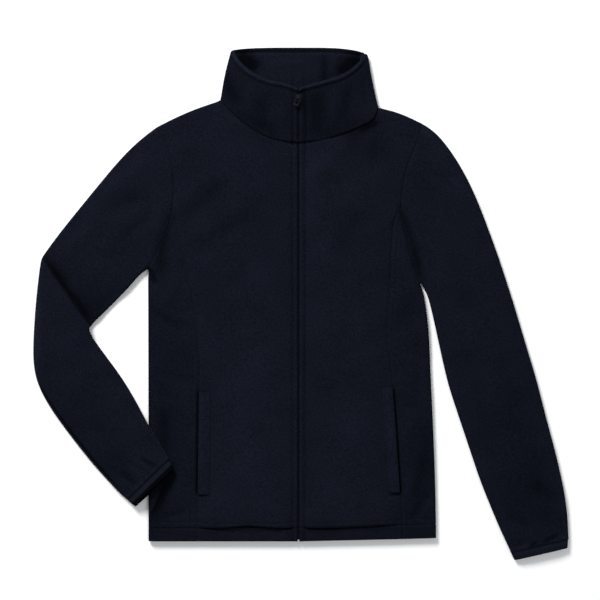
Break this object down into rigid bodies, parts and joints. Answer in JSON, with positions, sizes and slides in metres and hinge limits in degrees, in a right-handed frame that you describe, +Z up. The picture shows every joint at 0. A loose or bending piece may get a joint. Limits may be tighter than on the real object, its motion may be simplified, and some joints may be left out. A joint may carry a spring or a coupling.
{
  "type": "fleece zip jacket",
  "caption": "Fitted fleece jacket with a full front zip, stand collar, princess seams, welt pockets and bound cuffs, laid flat with one sleeve folded over at the elbow",
  "frame": {"origin": "on the surface that the jacket lies on, under the middle of the front, on the line of the zip", "axes": "+X to the wearer's left, across the width; +Y from the hem to the collar; +Z up off the surface, out of the front"},
  "size_m": [0.8028, 0.7675, 0.0257],
  "materials": {
    "fleece": "brushed knit",
    "binding": "smooth elastic knit",
    "zip_tape": "fine woven",
    "zip_coil": "satin nylon",
    "zip_metal": "satin enamel"
  },
  "bodies": {
    "jacket": {"back_panel": "fleece", "front_centre_right": "fleece", "front_centre_left": "fleece", "front_side_right": "fleece", "front_side_left": "fleece", "sleeve_right": "fleece", "sleeve_left": "fleece", "cuff_band_right": "binding", "cuff_band_left": "binding", "pocket_welt_right": "fleece", "pocket_welt_left": "fleece", "collar": "fleece", "zip_tape_right": "zip_tape", "zip_tape_left": "zip_tape", "zip_coil": "zip_coil", "zip_slider": "zip_metal"},
    "pull": {"zip_pull": "zip_metal"}
  },
  "joints": [
    {"name": "pull_swing", "type": "hinge", "parent": "jacket", "child": "pull", "pos_m": [0, 0.29946, 0.02355], "axis": [-0.8988, 0.4335, 0.0653], "range_deg": [0, 165]}
  ]
}
